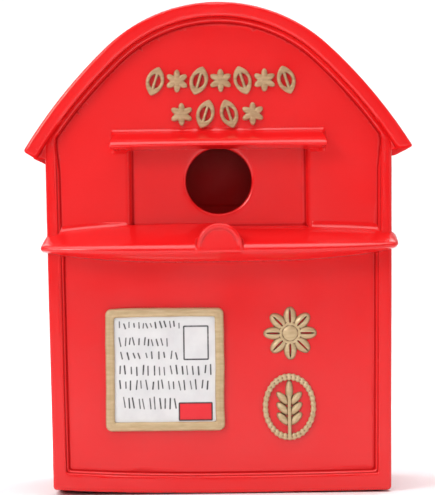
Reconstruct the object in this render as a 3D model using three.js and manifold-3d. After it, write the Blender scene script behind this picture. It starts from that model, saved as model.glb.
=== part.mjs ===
// A garden nest box in the form of a small wall post box, modelled in millimetres.
// +X is to the right seen from the front, -Y is the front, +Z is up.
// The origin is the middle of the base, at the level that the box stands on.

import * as THREE from 'three';
import { mergeVertices } from 'three/addons/utils/BufferGeometryUtils.js';
import Module from 'manifold-3d';

const wasm = await Module();
wasm.setup();

// ---------- Driving dimensions ----------

const GAP = 0.3; // between pieces that touch or are bonded
const HEIGHT = 240;
const DEPTH = 130;
const SILL_FRONT = -DEPTH / 2;
const REAR_RIM = DEPTH / 2;

// Roof: a crown arc runs on into two flatter flank arcs. Angles are from the vertical.
const CROWN_RADIUS = 78.5;
const CROWN_ANGLE = THREE.MathUtils.degToRad(43);
const FLANK_RADIUS = 243;
const EAVE_ANGLE = THREE.MathUtils.degToRad(58.5);
const EAVE_INNER_ANGLE = THREE.MathUtils.degToRad(58.1);
const ROOF_THICKNESS = 7;
const ROOF_FRONT = -50;

// Body shell: slightly wider at the eaves than at the base.
const BASE_HALF_WIDTH = 82.5;
const EAVE_HALF_WIDTH = 84.8;
const EAVE_HEIGHT = 168;
const WALL = 6;
const FLOOR = 6;
const BORDER_FACE = -45;
const PANEL_FACE = -42;
const RECESS_FACE = -38;
const FRONT_INNER_FACE = -35;
const BORDER_WIDTH = 6;
const BASE_BORDER = 9.5;
const ARCH_STRIP = 2.8;
const ABOVE_ROOF = HEIGHT + 10; // a height that cutting shapes reach to

const HOLE_RADIUS = 16;
const HOLE_Z = 153;
const RECESS = { halfWidth: 44, bottom: 132.5, top: 167.5 };
const DRAIN = { radius: 2.5, x: 50, y: 20 };

// Ledges on the front.
const SILL = { halfWidth: 87.2, edgeZ: 121, rise: 11.2, lip: 4, drop: 8 };
const SILL_ENDS = { taper: 0.42, underTaper: 0.75, hip: 3.2, hipShare: 0.6 };
const TAB = { radius: 11, thickness: 8, foot: 3 };
const HOOD = { backHalf: 51.2, frontHalf: 53.7, depth: 14, backTop: 177.3, frontTop: 171.8 };
const HOOD_LIP = { frontBottom: 169.3, backBottom: 167.8 };

// Raised work on the front.
const RELIEF = 1.8;
const STROKE = 2.5;
const TITLE_ROWS = [
  { name: 'title_upper', x: 1.5, z: 201.9, pitch: 10.7, pieces: 7, first: 'leaf' },
  { name: 'title_lower', x: -0.4, z: 185.6, pitch: 11.6, pieces: 4, first: 'flower' },
];
const ORNAMENT = { halfWidth: 4.4, halfHeight: 7.3, rim: 1.7, rib: 1.4, lean: 0.3 };
const ORNAMENT_PETALS = { count: 6, place: 3.2, long: 2.5, wide: 1.5, eye: 2.2 };
const NOTICE = { x: -27.4, z: 61, halfWidth: 29, halfHeight: 30, band: 4.4, relief: 2.8, corner: 2 };
const CARD_THICKNESS = 1;
const FLOWER = { x: 34, z: 78, petals: 8, petalCentre: 8, petalLong: 5, petalWide: 3, eye: 5 };
const WREATH = { x: 33.2, z: 42, halfWidth: 13, halfHeight: 16, stem: 1.6 };
const WREATH_LEAVES = { pairs: 3, lowest: -6.7, pitch: 5, offset: 3.2, long: 4, tip: 5, wide: 1.9 };

// Back panel and its hatch.
const PANEL_BACK = 55;
const PANEL_THICKNESS = 8;
const RIB = { width: 8, depth: 8, top: 150 };
const HATCH = { halfWidth: 56, bottom: 20, top: 146, thickness: 4.7, clearance: 0.8, stop: 4 };
const KNOB = { x: 34, radius: 7, height: 8.5 };

// Ironmongery.
const SCREW = { head: 2.8, headDepth: 1.2, shank: 1.2, length: 4.4, sides: 10 };
const HINGE = { z: [44, 122], length: 24, leaf: 13, thickness: 1.2, knuckle: 2, pin: 0.9, inset: 2 };
const HINGE_KNUCKLES = [-4, 4]; // where the middle knuckle starts and ends, from the hinge's middle
const HINGE_SCREWS = { out: 8, spread: 6.7 };
const BUTTON = { x: 62, z: 83, half: 14, width: 9, thickness: 2.4, washer: 0.5, bore: 2 };
const BUTTON_SCREW = { head: 3.6, headDepth: 1.6, shank: 1.6 };
const HANGER = { z: 186, half: 19, height: 20, thickness: 1.5, hole: 4.5, slot: 2.3, slotTop: 8 };
const POCKET = { halfWidth: 7.5, below: 7, above: 11, depth: 5 };
const PANEL_SCREWS = { x: 73.5, z: [22, 140], length: 13 };

// ---------- Materials ----------

function finish(color, roughness, metalness) {
  return () => new THREE.MeshStandardMaterial({ color, roughness, metalness });
}

const RED = finish(0xe8282c, 0.35, 0);
const GOLD = finish(0xb89a62, 0.4, 0.55);
const CARD = finish(0xececee, 0.6, 0);
const BACK_RED = finish(0xc9262a, 0.5, 0);
const STEEL = finish(0xb9bbbd, 0.35, 1);
const BRASS = finish(0xb08a45, 0.35, 1);

// ---------- Geometry helpers ----------

const ROUND = 48;
const SMALL_ROUND = 20;
const ARCH_STEPS = 12; // in each of the roof line's three arcs
const CURVE_STEPS = 7;

function solid(geometry) {
  const bare = geometry.clone();
  bare.deleteAttribute('normal');
  bare.deleteAttribute('uv');
  const merged = mergeVertices(bare, 1e-4);
  return new wasm.Manifold(new wasm.Mesh({
    numProp: 3,
    vertProperties: new Float32Array(merged.attributes.position.array),
    triVerts: new Uint32Array(merged.index.array),
  }));
}

function geometryOf(manifold) {
  const mesh = manifold.getMesh();
  const geometry = new THREE.BufferGeometry();
  geometry.setAttribute('position', new THREE.BufferAttribute(mesh.vertProperties, 3));
  geometry.setIndex(new THREE.BufferAttribute(mesh.triVerts, 1));
  geometry.computeVertexNormals();
  return geometry;
}

function piece(name, manifold, material) {
  const mesh = new THREE.Mesh(geometryOf(manifold), material());
  mesh.name = name;
  return mesh;
}

function outline(points) {
  return new THREE.Shape(points.map(([x, z]) => new THREE.Vector2(x, z)));
}

// An outline in the XZ plane, made solid between two Y positions.
function slab(shape, front, back, curveSegments = CURVE_STEPS) {
  const settings = { depth: back - front, bevelEnabled: false, curveSegments };
  const geometry = new THREE.ExtrudeGeometry(shape, settings);
  geometry.rotateX(Math.PI / 2);
  geometry.translate(0, back, 0);
  return solid(geometry);
}

function block(x0, x1, y0, y1, z0, z1) {
  const geometry = new THREE.BoxGeometry(x1 - x0, y1 - y0, z1 - z0);
  geometry.translate((x0 + x1) / 2, (y0 + y1) / 2, (z0 + z1) / 2);
  return solid(geometry);
}

function rodAlongY(radius, x, z, y0, y1, sides = SMALL_ROUND) {
  const geometry = new THREE.CylinderGeometry(radius, radius, y1 - y0, sides);
  geometry.translate(x, (y0 + y1) / 2, z);
  return solid(geometry);
}

function rodAlongZ(radius, x, y, z0, z1, sides = SMALL_ROUND) {
  const geometry = new THREE.CylinderGeometry(radius, radius, z1 - z0, sides);
  geometry.rotateX(Math.PI / 2);
  geometry.translate(x, y, (z0 + z1) / 2);
  return solid(geometry);
}

// A (y, z) section drawn out along X, with its points then moved by bend(point).
function ledge(section, halfWidth, steps, bend) {
  const shape = outline(section);
  const geometry = new THREE.ExtrudeGeometry(shape, { depth: 2 * halfWidth, steps, bevelEnabled: false });
  geometry.translate(0, 0, -halfWidth);
  geometry.applyMatrix4(new THREE.Matrix4().set(0, 0, 1, 0, 1, 0, 0, 0, 0, 1, 0, 0, 0, 0, 0, 1));
  const position = geometry.attributes.position;
  const point = new THREE.Vector3();
  for (let i = 0; i < position.count; i += 1) {
    point.fromBufferAttribute(position, i);
    bend(point);
    position.setXYZ(i, point.x, point.y, point.z);
  }
  return solid(geometry);
}

function joined(solids) {
  return solids.reduce((sum, next) => sum.add(next));
}

function without(body, cutters) {
  return cutters.reduce((rest, cutter) => rest.subtract(cutter), body);
}

// ---------- The arch and the body's outline ----------

function arcPoints(centreX, centreZ, radius, from, to) {
  const points = [];
  for (let i = 0; i <= ARCH_STEPS; i += 1) {
    const angle = from + ((to - from) * i) / ARCH_STEPS;
    points.push([centreX + radius * Math.sin(angle), centreZ + radius * Math.cos(angle)]);
  }
  return points;
}

// The roof line moved inwards by inset, from the right eave over the crown to the left eave.
function archPoints(inset, eaveAngle) {
  const spread = FLANK_RADIUS - CROWN_RADIUS;
  const crownZ = HEIGHT - CROWN_RADIUS;
  const flankX = spread * Math.sin(CROWN_ANGLE);
  const flankZ = crownZ - spread * Math.cos(CROWN_ANGLE);
  const flank = FLANK_RADIUS - inset;
  return [
    ...arcPoints(-flankX, flankZ, flank, eaveAngle, CROWN_ANGLE),
    ...arcPoints(0, crownZ, CROWN_RADIUS - inset, CROWN_ANGLE, -CROWN_ANGLE).slice(1, -1),
    ...arcPoints(flankX, flankZ, flank, -CROWN_ANGLE, -eaveAngle),
  ];
}

// Everything under the arch, down past the base.
function underArch(inset) {
  const points = archPoints(inset, EAVE_ANGLE);
  const right = points[0][0];
  return outline([...points, [-right, -10], [right, -10]]);
}

function halfWidthAt(z) {
  return BASE_HALF_WIDTH + ((EAVE_HALF_WIDTH - BASE_HALF_WIDTH) * z) / EAVE_HEIGHT;
}

// The body's tapering outline moved inwards by inset, between two heights.
function bodyOutline(inset, bottom, top) {
  const low = halfWidthAt(bottom) - inset;
  const high = halfWidthAt(top) - inset;
  return outline([[-low, bottom], [low, bottom], [high, top], [-high, top]]);
}

function archedSlab(sideInset, archInset, bottom, front, back) {
  const body = slab(bodyOutline(sideInset, bottom, ABOVE_ROOF), front, back);
  return body.intersect(slab(underArch(archInset), front - 1, back + 1));
}

// ---------- Casing ----------

function roofShell() {
  const inner = archPoints(ROOF_THICKNESS, EAVE_INNER_ANGLE).reverse();
  const band = outline([...archPoints(0, EAVE_ANGLE), ...inner]);
  return [piece('roof_shell', slab(band, ROOF_FRONT, REAR_RIM), RED)];
}

function screwHoles(places) {
  const radius = SCREW.shank + GAP;
  return places.map(([x, z, y0, y1]) => rodAlongY(radius, x, z, y0, y1, SCREW.sides));
}

function panelScrewPlaces() {
  return PANEL_SCREWS.z.flatMap((z) => [-1, 1].map((side) => [side * PANEL_SCREWS.x, z]));
}

function sideRibs() {
  const back = PANEL_BACK - PANEL_THICKNESS - GAP;
  return [-1, 1].map((side) => {
    const inner = side * (BASE_HALF_WIDTH - WALL - RIB.width);
    const outer = side * (BASE_HALF_WIDTH - WALL / 2);
    const [low, high] = [Math.min(inner, outer), Math.max(inner, outer)];
    return block(low, high, back - RIB.depth, back, FLOOR / 2, RIB.top);
  });
}

function bodyShell() {
  const roofLine = ROOF_THICKNESS + GAP;
  const outer = archedSlab(0, roofLine, 0, BORDER_FACE, REAR_RIM);
  const cavity = slab(bodyOutline(WALL, FLOOR, ABOVE_ROOF), FRONT_INNER_FACE, REAR_RIM + 1);
  const strip = ROOF_THICKNESS + ARCH_STRIP;
  const panel = archedSlab(BORDER_WIDTH, strip, BASE_BORDER, BORDER_FACE - 1, PANEL_FACE);
  const { halfWidth, bottom, top } = RECESS;
  const recess = block(-halfWidth, halfWidth, PANEL_FACE - 1, RECESS_FACE, bottom, top);
  const entrance = rodAlongY(HOLE_RADIUS, 0, HOLE_Z, BORDER_FACE, FRONT_INNER_FACE + 1, ROUND);
  const drains = [-1, 1].flatMap((sx) => [-1, 1].map((sy) => (
    rodAlongZ(DRAIN.radius, sx * DRAIN.x, sy * DRAIN.y, -1, FLOOR + 1))));
  const ribBack = PANEL_BACK - PANEL_THICKNESS;
  const holes = screwHoles(panelScrewPlaces().map(([x, z]) => [x, z, ribBack - RIB.depth + 2, ribBack]));
  const shell = joined([without(outer, [cavity]), ...sideRibs()]);
  return [piece('body_shell', without(shell, [panel, recess, entrance, ...drains, ...holes]), RED)];
}

// ---------- Ledges ----------

function sillLedge() {
  const back = PANEL_FACE - GAP;
  const section = [
    [back, SILL.edgeZ - SILL.drop],
    [back, SILL.edgeZ + SILL.rise],
    [SILL_FRONT, SILL.edgeZ],
    [SILL_FRONT, SILL.edgeZ - SILL.lip],
  ];
  // The ledge is deepest in the middle, its front edge stays level and its ends thin to a tip.
  const bow = (point) => {
    const outwards = Math.abs(point.x / SILL.halfWidth) ** 3;
    const size = 1 - SILL_ENDS.taper * outwards;
    const height = point.z - SILL.edgeZ;
    point.y = back + (point.y - back) * size;
    point.z = SILL.edgeZ + height * (height > 0 ? size : 1 - SILL_ENDS.underTaper * outwards);
  };
  const shelf = ledge(section, SILL.halfWidth, 28, bow);
  const wide = SILL.halfWidth + 1;
  const hip = SILL.halfWidth - SILL_ENDS.hip;
  const hipTop = SILL.edgeZ + SILL.rise * SILL_ENDS.hipShare;
  // Each end slopes down from the body's side to the tip.
  const corners = [-1, 1].map((side) => slab(outline([
    [side * SILL.halfWidth, SILL.edgeZ],
    [side * hip, hipTop],
    [side * hip, hipTop + SILL.rise],
    [side * wide, hipTop + SILL.rise],
    [side * wide, SILL.edgeZ],
  ]), SILL_FRONT - 1, back + 1));
  const borderX = halfWidthAt(SILL.edgeZ) - BORDER_WIDTH - GAP;
  const seats = [-1, 1].map((side) => {
    const [low, high] = side < 0 ? [-wide, -borderX] : [borderX, wide];
    return block(low, high, BORDER_FACE - GAP, 0, SILL.edgeZ - 2 * SILL.drop, SILL.edgeZ + 2 * SILL.rise);
  });
  const disc = rodAlongY(TAB.radius, 0, SILL.edgeZ, SILL_FRONT, SILL_FRONT + TAB.thickness, ROUND);
  const aboveFoot = block(-TAB.radius - 1, TAB.radius + 1, SILL_FRONT - 1, 0, SILL.edgeZ - TAB.foot, HEIGHT);
  const tab = disc.intersect(aboveFoot);
  return [piece('sill_ledge', without(shelf, [...corners, ...seats]).add(tab), RED)];
}

function hoodLedge() {
  const back = PANEL_FACE - GAP;
  const front = back - HOOD.depth;
  const section = [
    [back, HOOD_LIP.backBottom],
    [back, HOOD.backTop],
    [front, HOOD.frontTop],
    [front, HOOD_LIP.frontBottom],
  ];
  // The ends splay outwards towards the front.
  const splay = (point) => {
    const forward = (back - point.y) / HOOD.depth;
    point.x *= 1 + forward * (HOOD.frontHalf / HOOD.backHalf - 1);
  };
  return [piece('hood_ledge', ledge(section, HOOD.backHalf, 1, splay), RED)];
}

// ---------- Raised work on the front ----------

const RELIEF_BACK = PANEL_FACE - GAP;

function relief(shape) {
  return slab(shape, RELIEF_BACK - RELIEF, RELIEF_BACK);
}

function petal(long, wide, x, z, turn) {
  const shape = new THREE.Shape();
  shape.absellipse(x, z, long, wide, 0, 2 * Math.PI, false, turn);
  return relief(shape);
}

// A leaf outline that comes to a point at both ends.
function leafShape(halfWidth, halfHeight) {
  const shape = new THREE.Shape();
  shape.moveTo(0, -halfHeight);
  shape.quadraticCurveTo(2 * halfWidth, 0, 0, halfHeight);
  shape.quadraticCurveTo(-2 * halfWidth, 0, 0, -halfHeight);
  return shape;
}

// A leaf with a rim and a rib, pierced between them.
function leafOrnament() {
  const { halfWidth, halfHeight, rim, rib } = ORNAMENT;
  const front = RELIEF_BACK - RELIEF;
  const inside = slab(leafShape(halfWidth - rim, halfHeight - 2 * rim), front - 1, 0);
  const spine = block(-rib / 2, rib / 2, front, RELIEF_BACK, 1 - halfHeight, halfHeight - 1);
  return relief(leafShape(halfWidth, halfHeight)).subtract(inside).add(spine);
}

// Petals spread evenly round an eye, the first one upright or level.
function petalsRound(eye, count, place, long, wide, firstTurn) {
  const solids = [petal(eye, eye, 0, 0, 0)];
  for (let i = 0; i < count; i += 1) {
    const turn = firstTurn + (i * 2 * Math.PI) / count;
    solids.push(petal(long, wide, place * Math.cos(turn), place * Math.sin(turn), turn));
  }
  return joined(solids);
}

function flowerOrnament() {
  const { eye, count, place, long, wide } = ORNAMENT_PETALS;
  return petalsRound(eye, count, place, long, wide, Math.PI / 2);
}

const ORNAMENTS = { leaf: leafOrnament, flower: flowerOrnament };

// Leaves and flowers take turns from each end of a row, and the leaves lean towards its middle.
function titleRow(row) {
  const other = row.first === 'leaf' ? 'flower' : 'leaf';
  const meshes = [];
  for (let i = 0; i < row.pieces; i += 1) {
    const fromEnd = Math.min(i, row.pieces - 1 - i);
    const kind = fromEnd % 2 ? other : row.first;
    const place = i - (row.pieces - 1) / 2;
    const mesh = piece(`${row.name}_${kind}_${i + 1}`, ORNAMENTS[kind](), GOLD);
    mesh.position.set(row.x + place * row.pitch, 0, row.z);
    mesh.rotation.y = kind === 'leaf' ? -Math.sign(place) * ORNAMENT.lean : 0;
    meshes.push(mesh);
  }
  return meshes;
}

function roundedRectangle(halfWidth, halfHeight, corner) {
  const shape = new THREE.Shape();
  const [w, h, r] = [halfWidth, halfHeight, corner];
  shape.moveTo(w - r, -h);
  shape.absarc(w - r, -h + r, r, -Math.PI / 2, 0, false);
  shape.absarc(w - r, h - r, r, 0, Math.PI / 2, false);
  shape.absarc(-w + r, h - r, r, Math.PI / 2, Math.PI, false);
  shape.absarc(-w + r, -h + r, r, Math.PI, Math.PI * 1.5, false);
  return shape;
}

function noticePieces() {
  const { halfWidth, halfHeight, band } = NOTICE;
  const front = RELIEF_BACK - NOTICE.relief;
  const plate = slab(roundedRectangle(halfWidth, halfHeight, NOTICE.corner), front, RELIEF_BACK);
  const window = slab(roundedRectangle(halfWidth - band, halfHeight - band, 1), front - 1, 0);
  const sheet = roundedRectangle(halfWidth - band - GAP, halfHeight - band - GAP, 1 - GAP);
  const pieces = [
    piece('notice_frame', plate.subtract(window), GOLD),
    piece('notice_card', slab(sheet, RELIEF_BACK - CARD_THICKNESS, RELIEF_BACK), CARD),
  ];
  pieces.forEach((mesh) => mesh.position.set(NOTICE.x, 0, NOTICE.z));
  return pieces;
}

function flowerEmblem() {
  const { eye, petals, petalCentre, petalLong, petalWide } = FLOWER;
  const flower = petalsRound(eye, petals, petalCentre, petalLong, petalWide, 0);
  const mesh = piece('flower_emblem', flower, GOLD);
  mesh.position.set(FLOWER.x, 0, FLOWER.z);
  return mesh;
}

function wreathEmblem() {
  const { halfWidth, halfHeight, stem: stemWidth } = WREATH;
  const { pairs, lowest, pitch, offset, long, tip, wide } = WREATH_LEAVES;
  const hole = new THREE.Shape();
  hole.absellipse(0, 0, halfWidth - STROKE, halfHeight - STROKE, 0, 2 * Math.PI, false, 0);
  const oval = petal(halfWidth, halfHeight, 0, 0, 0);
  const ring = oval.subtract(slab(hole, RELIEF_BACK - RELIEF - 1, 0));
  const half = stemWidth / 2;
  const stem = block(-half, half, RELIEF_BACK - RELIEF, RELIEF_BACK, -halfHeight + 1, halfHeight / 2);
  const leaves = [petal(tip, wide, 0, halfHeight / 2, Math.PI / 2)];
  for (let i = 0; i < pairs; i += 1) {
    const z = lowest + i * pitch;
    leaves.push(petal(long, wide, offset, z, Math.PI / 4));
    leaves.push(petal(long, wide, -offset, z, (Math.PI * 3) / 4));
  }
  const mesh = piece('wreath_emblem', joined([ring, stem, ...leaves]), GOLD);
  mesh.position.set(WREATH.x, 0, WREATH.z);
  return mesh;
}

// ---------- Ironmongery ----------

// A (radius, y) profile turned about a line along Y.
function turned(profile, x, y, z, sides) {
  const points = profile.map(([radius, height]) => new THREE.Vector2(radius, height));
  const geometry = new THREE.LatheGeometry(points, sides);
  geometry.translate(x, y, z);
  return solid(geometry);
}

// A countersunk screw with its flat head at y = face and its tip length in front of it.
function screw(name, x, z, face, length = SCREW.length) {
  const { head, headDepth, shank, sides } = SCREW;
  const tip = [[0, -length], [shank / 2, -length], [shank, shank - length]];
  const profile = [...tip, [shank, -headDepth], [head, 0], [0, 0]];
  return piece(name, turned(profile, x, face, z, sides), STEEL);
}

// The hole that a countersunk screw passes through.
function countersink(x, z, face, depth) {
  const { head, headDepth, shank, sides } = SCREW;
  const [narrow, wide] = [shank + GAP, head + GAP];
  const end = -depth - 1;
  const profile = [[0, end], [narrow, end], [narrow, -headDepth], [wide, 0], [wide, 1], [0, 1]];
  return turned(profile, x, face, z, sides);
}

const PLATE_BACK = PANEL_BACK + GAP; // plates lie on the back panel from here outwards
const HINGE_AXIS = { x: -HATCH.halfWidth - HINGE.inset, y: PLATE_BACK + HINGE.knuckle };
const LEAF_FACE = PLATE_BACK + HINGE.thickness;

function leafScrewPlaces(side) {
  const x = HINGE_AXIS.x + side * HINGE_SCREWS.out;
  return HINGE.z.map((z) => [-1, 1].map((end) => [x, z + end * HINGE_SCREWS.spread]));
}

// side is -1 for the leaf on the back panel, with the two end knuckles, and 1 for the hatch's.
function hingeLeaf(name, z, side, places) {
  const { x, y } = HINGE_AXIS;
  const [bottom, top] = [z - HINGE.length / 2, z + HINGE.length / 2];
  const [low, high] = HINGE_KNUCKLES.map((offset) => z + offset);
  const ends = [[bottom, low], [high, top]];
  const middle = [[low + GAP, high - GAP]];
  const near = x + side * HINGE.pin;
  const far = x + side * HINGE.leaf;
  const plate = block(Math.min(near, far), Math.max(near, far), PLATE_BACK, LEAF_FACE, bottom, top);
  const knuckles = (side < 0 ? ends : middle).map(([a, b]) => rodAlongZ(HINGE.knuckle, x, y, a, b));
  const notches = side < 0 ? [[low, high]] : [[bottom - 1, low + GAP], [high - GAP, top + 1]];
  const reach = HINGE.knuckle + GAP;
  const rooms = notches.map(([a, b]) => rodAlongZ(reach, x, y, a, b));
  const bore = rodAlongZ(HINGE.pin + GAP, x, y, bottom - 1, top + 1);
  const sinks = places.map(([sx, sz]) => countersink(sx, sz, LEAF_FACE, HINGE.thickness));
  return piece(name, without(joined([without(plate, rooms), ...knuckles]), [bore, ...sinks]), STEEL);
}

function hingePin(name, z) {
  const { x, y } = HINGE_AXIS;
  const end = HINGE.length / 2 + GAP;
  const head = rodAlongZ(HINGE.pin * 1.7, x, y, z + end, z + end + 1);
  return piece(name, joined([rodAlongZ(HINGE.pin, x, y, z - end, z + end + 0.5), head]), STEEL);
}

const HINGE_NAMES = ['lower', 'upper'];

function hingePieces() {
  const fixedPlaces = leafScrewPlaces(-1);
  const movingPlaces = leafScrewPlaces(1);
  return HINGE.z.flatMap((z, i) => {
    const label = HINGE_NAMES[i];
    return [
      hingeLeaf(`hinge_${label}_fixed_leaf`, z, -1, fixedPlaces[i]),
      hingeLeaf(`hinge_${label}_moving_leaf`, z, 1, movingPlaces[i]),
      hingePin(`hinge_${label}_pin`, z),
      ...fixedPlaces[i].map(([x, sz], n) => screw(`hinge_${label}_panel_screw_${n + 1}`, x, sz, LEAF_FACE)),
      ...movingPlaces[i].map(([x, sz], n) => screw(`hinge_${label}_hatch_screw_${n + 1}`, x, sz, LEAF_FACE)),
    ];
  });
}

// ---------- Back panel, hatch and what is on them ----------

function hangerScrewPlaces() {
  return [-1, 1].map((side) => [side * (HANGER.half - 4.5), HANGER.z]);
}

function backPanel() {
  const front = PANEL_BACK - PANEL_THICKNESS;
  const plate = archedSlab(WALL + GAP, ROOF_THICKNESS + GAP, FLOOR + GAP, front, PANEL_BACK);
  const c = HATCH.clearance;
  const rebate = block(-HATCH.halfWidth - c, HATCH.halfWidth + c,
    PANEL_BACK - HATCH.thickness - GAP, PANEL_BACK + 1, HATCH.bottom - c, HATCH.top + c);
  const stop = HATCH.halfWidth - HATCH.stop;
  const [low, high] = [HATCH.bottom + HATCH.stop, HATCH.top - HATCH.stop];
  const opening = block(-stop, stop, front - 1, PANEL_BACK, low, high);
  const pocket = block(-POCKET.halfWidth, POCKET.halfWidth,
    PANEL_BACK - POCKET.depth, PANEL_BACK + 1, HANGER.z - POCKET.below, HANGER.z + POCKET.above);
  const deep = PANEL_BACK - SCREW.length;
  const pilots = screwHoles([
    ...leafScrewPlaces(-1).flat().map(([x, z]) => [x, z, deep, PANEL_BACK + 1]),
    ...hangerScrewPlaces().map(([x, z]) => [x, z, deep, PANEL_BACK + 1]),
  ]);
  const fixings = panelScrewPlaces().map(([x, z]) => countersink(x, z, PANEL_BACK, PANEL_THICKNESS));
  const button = rodAlongY(BUTTON_SCREW.shank + GAP, BUTTON.x, BUTTON.z, front + 1, PANEL_BACK + 1);
  const panel = without(plate, [rebate, opening, pocket, button, ...pilots, ...fixings]);
  const screws = panelScrewPlaces().map(([x, z], i) => (
    screw(`back_panel_screw_${i + 1}`, x, z, PANEL_BACK, PANEL_SCREWS.length)));
  return [piece('back_panel', panel, BACK_RED), ...screws];
}

function rearHatch() {
  const { halfWidth, bottom, top, thickness } = HATCH;
  const door = block(-halfWidth, halfWidth, PANEL_BACK - thickness, PANEL_BACK, bottom, top);
  const deep = PANEL_BACK - thickness + 1;
  const pilots = screwHoles(leafScrewPlaces(1).flat().map(([x, z]) => [x, z, deep, PANEL_BACK + 1]));
  return piece('rear_hatch', without(door, pilots), BACK_RED);
}

function hatchKnob() {
  const { radius, height } = KNOB;
  const profile = [
    [0, 0], [radius * 0.6, 0], [radius * 0.45, height * 0.25], [radius * 0.5, height * 0.45],
    [radius * 0.95, height * 0.6], [radius, height * 0.8], [radius * 0.75, height * 0.97], [0, height],
  ];
  const z = (HATCH.bottom + HATCH.top) / 2;
  return piece('hatch_knob', turned(profile, KNOB.x, PLATE_BACK, z, SMALL_ROUND), BRASS);
}

// The button stands upright at rest, clear of the hatch. A quarter turn holds the hatch shut.
function turnButtonPieces() {
  const { x, z, half, width, thickness, washer, bore } = BUTTON;
  const washerFace = PLATE_BACK + washer;
  const front = washerFace + GAP;
  const back = front + thickness;
  const bar = slab(roundedRectangle(width / 2, half, width / 2 - 0.1), front, back);
  const hole = rodAlongY(bore, 0, 0, front - 1, back + 1);
  const button = piece('turn_button', bar.subtract(hole), BRASS);
  button.position.set(x, 0, z);
  const disc = rodAlongY(width / 2, x, z, PLATE_BACK, washerFace);
  const washerPiece = piece('button_washer', disc.subtract(rodAlongY(bore, x, z, 0, back)), STEEL);
  const head = rodAlongY(BUTTON_SCREW.head, x, z, back + GAP, back + GAP + BUTTON_SCREW.headDepth);
  const shank = rodAlongY(BUTTON_SCREW.shank, x, z, PANEL_BACK - PANEL_THICKNESS + 1.5, back + GAP + 0.5);
  return [button, washerPiece, piece('button_screw', joined([head, shank]), STEEL)];
}

// A plate with a keyhole: the round part passes a wall screw's head, the slot above holds its neck.
function hangerPieces() {
  const { z, half, height, thickness, hole, slot, slotTop } = HANGER;
  const face = PLATE_BACK + thickness;
  const plate = slab(roundedRectangle(half, height / 2, 3), PLATE_BACK, face);
  const eye = rodAlongY(hole, 0, -1, 0, face + 1);
  const neck = block(-slot, slot, 0, face + 1, -1, slotTop - slot);
  const neckEnd = rodAlongY(slot, 0, slotTop - slot, 0, face + 1);
  const sinks = hangerScrewPlaces().map(([x]) => countersink(x, 0, face, thickness));
  const hanger = piece('keyhole_hanger', without(plate, [eye, neck, neckEnd, ...sinks]), STEEL);
  hanger.position.set(0, 0, z);
  const screws = hangerScrewPlaces().map(([x, sz], i) => screw(`hanger_screw_${i + 1}`, x, sz, face));
  return [hanger, ...screws];
}

// ---------- The whole box ----------

const nestBox = new THREE.Group();
nestBox.add(
  ...bodyShell(),
  ...roofShell(),
  ...sillLedge(),
  ...hoodLedge(),
  ...TITLE_ROWS.flatMap(titleRow),
  ...noticePieces(),
  flowerEmblem(),
  wreathEmblem(),
  ...backPanel(),
  rearHatch(),
  hatchKnob(),
  ...hingePieces(),
  ...turnButtonPieces(),
  ...hangerPieces(),
);

export default nestBox;
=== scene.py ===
"""Looks for the post-box nest box: camera, light and floor, then every visible piece and its material.

The pieces are drawn as distance fields, in millimetres. A field is below zero inside the piece and
above it outside, so edges can be rounded and surfaces kept a little uneven, as in a casting.
"""

import math

import bpy
import numpy as np
import openvdb
from mathutils import Matrix, Vector


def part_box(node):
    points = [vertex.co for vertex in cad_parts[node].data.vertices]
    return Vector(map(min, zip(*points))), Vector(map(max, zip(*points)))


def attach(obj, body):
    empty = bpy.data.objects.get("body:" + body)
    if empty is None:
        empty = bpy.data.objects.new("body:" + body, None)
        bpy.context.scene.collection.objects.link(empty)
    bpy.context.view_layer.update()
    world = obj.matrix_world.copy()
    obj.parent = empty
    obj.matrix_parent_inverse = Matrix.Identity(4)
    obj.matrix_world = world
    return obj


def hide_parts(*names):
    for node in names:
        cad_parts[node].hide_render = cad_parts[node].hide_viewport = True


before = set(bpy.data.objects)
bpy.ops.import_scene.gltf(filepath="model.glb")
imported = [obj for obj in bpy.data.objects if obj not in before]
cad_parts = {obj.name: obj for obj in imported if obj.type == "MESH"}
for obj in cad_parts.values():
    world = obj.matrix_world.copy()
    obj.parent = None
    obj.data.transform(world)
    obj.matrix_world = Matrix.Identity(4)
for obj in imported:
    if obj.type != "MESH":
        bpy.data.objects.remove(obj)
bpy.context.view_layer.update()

MM = 0.001
QUICK = 1.0  # how much coarser the fields are while trying things out


def box_mm(node):
    """The lowest and highest corner of a CAD node, in millimetres."""
    low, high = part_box(node)
    return np.array(low) / MM, np.array(high) / MM


def middle(node):
    low, high = box_mm(node)
    return (low + high) / 2


def half_size(node):
    """Half the width and height of a CAD node, in millimetres."""
    low, high = box_mm(node)
    return (high - low)[[0, 2]] / 2


# ---------- Camera, light and floor ----------

CAMERA_DISTANCE = 1.25
CAMERA_SIDE = -0.001
CAMERA_HEIGHT = 0.1203
CAMERA_ROLL = math.radians(0.7)
VIEW_HEIGHT = 0.2416  # of the front's plane, from the bottom to the top of the picture
SENSOR = 36.0
FRONT_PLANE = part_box("body_shell")[0].y
BOX_MIDDLE = (0, 0, 0.12)
LIGHTS = [  # name, angle to the side and height in degrees, distance, size, power and target
    ("key", -36, 25, 1.7, (0.5, 0.5), 11.9, BOX_MIDDLE),
    ("fill", 52, 13, 1.8, (1.0, 0.8), 2.5, BOX_MIDDLE),
    ("overhead", 0, 84, 1.5, (1.6, 1.2), 20, (0, -0.45, 0.1)),
    ("backdrop_wash", 0, 70, 1.6, (2.4, 0.8), 37, (0, 1.6, 0.2)),
    ("front", 0, 4, 1.4, (0.3, 0.2), 1.7, BOX_MIDDLE),
]
WORLD_FADE = (-0.3, 0.05)  # where the world turns from dim to pale, from front to back
WORLD_GLOW = (0.05, 0.62)  # its strength where it is dim and where it is pale


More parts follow.
